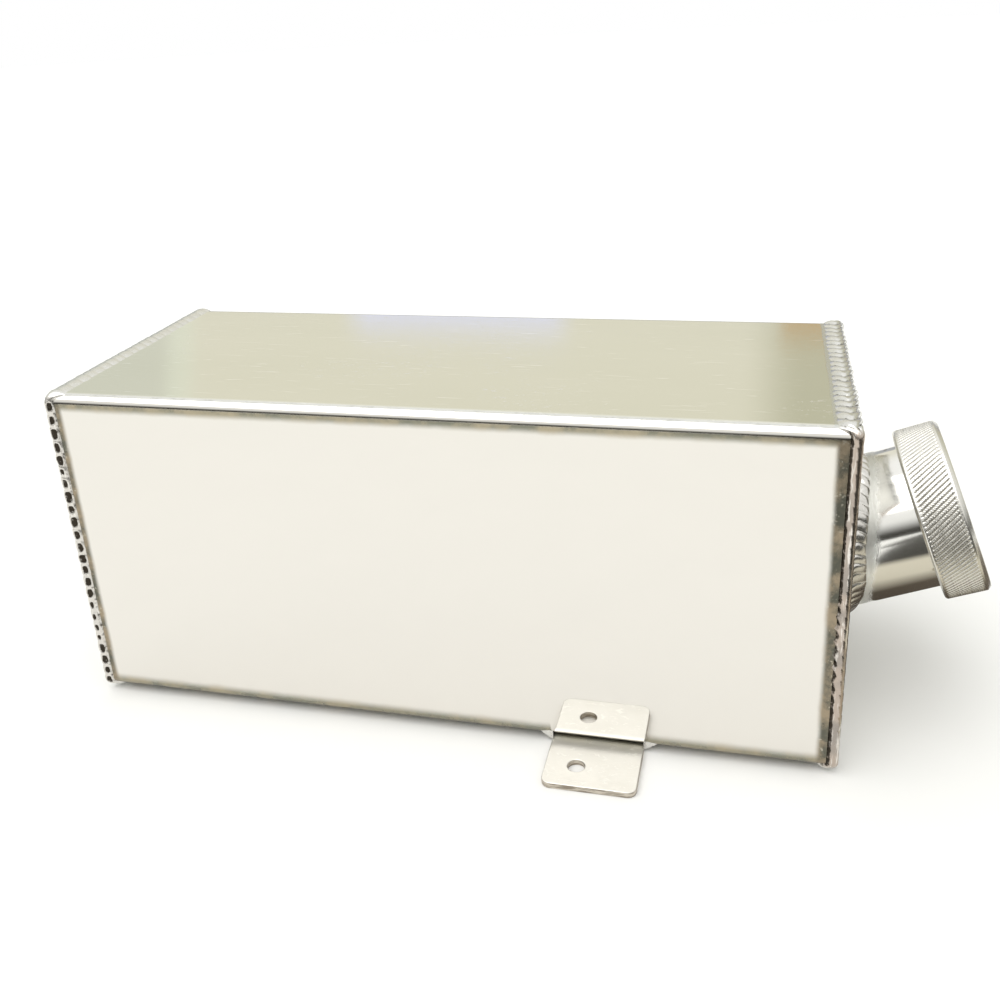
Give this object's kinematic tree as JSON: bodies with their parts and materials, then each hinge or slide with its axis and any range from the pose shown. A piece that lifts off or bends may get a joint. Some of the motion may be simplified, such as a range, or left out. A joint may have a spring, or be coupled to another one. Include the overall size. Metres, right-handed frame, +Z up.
{
  "type": "hydraulic reservoir",
  "caption": "Welded aluminium hydraulic reservoir: a folded rectangular tank with a tilted screw-cap filler on one end, hose ports on the other and flat mounting tabs.",
  "frame": {"origin": "centre of the whole object's footprint, level with the undersides of the mounting tabs", "axes": "+X along the tank towards the filler end, +Y from the front face to the rear face, +Z up"},
  "size_m": [0.3706, 0.173, 0.1391],
  "materials": {
    "tank_sheet": "brushed top, polished sides",
    "plate": "satin",
    "weld_bead": "rippled weld",
    "tab": "satin",
    "polished_tube": "polished",
    "machined": "machined",
    "cap": "machined, knurled rim",
    "seal": "matt",
    "porous_bronze": "sintered",
    "copper_washer": "satin",
    "steel": "zinc plated"
  },
  "bodies": {
    "tank": {"body_wrap": "tank_sheet", "seam_weld": "weld_bead", "end_plate_filler": "plate", "end_plate_ports": "plate", "end_weld_filler": "weld_bead", "end_weld_ports": "weld_bead", "baffle_plate": "plate", "baffle_weld_1": "weld_bead", "baffle_weld_2": "weld_bead", "baffle_weld_3": "weld_bead", "baffle_weld_end": "weld_bead", "mount_tab_front": "tab", "mount_tab_rear": "tab", "tab_weld_front": "weld_bead", "tab_weld_rear": "weld_bead", "filler_neck": "polished_tube", "neck_weld": "weld_bead", "filler_bung": "machined", "strainer_basket": "steel", "strainer_ring": "steel", "suction_port": "machined", "suction_port_weld": "weld_bead", "suction_nut": "machined", "suction_screen": "steel", "suction_end_cap": "steel", "return_port": "machined", "return_port_weld": "weld_bead", "return_pipe": "plate", "drain_port": "machined", "drain_port_weld": "weld_bead"},
    "cap_seal": {"cap_gasket": "seal"},
    "cap": {"filler_cap": "cap", "vent_filter": "porous_bronze", "vent_retainer": "steel"},
    "drain_seal": {"drain_washer": "copper_washer"},
    "drain_screw": {"drain_plug": "steel"}
  },
  "joints": [
    {"name": "cap_rise", "type": "slide", "parent": "tank", "child": "cap_seal", "axis": [0.9336, 0, 0.3584], "range_m": [0, 0.014]},
    {"name": "cap_turn", "type": "hinge", "parent": "cap_seal", "child": "cap", "pos_m": [0.12903, 0, 0.0676], "axis": [0.9336, 0, 0.3584], "range_deg": [0, 1260]},
    {"name": "drain_rise", "type": "slide", "parent": "tank", "child": "drain_seal", "axis": [0, 1, 0], "range_m": [0, 0.0105]},
    {"name": "drain_turn", "type": "hinge", "parent": "drain_seal", "child": "drain_screw", "pos_m": [-0.13712, 0.061, 0.0196], "axis": [0, 1, 0], "range_deg": [0, 2520]}
  ],
  "couplings": [
    {"joint": "cap_rise", "follows": "cap_turn", "m_per_rad": 0.0006366},
    {"joint": "drain_turn", "follows": "drain_rise", "rad_per_m": 4188.8}
  ]
}
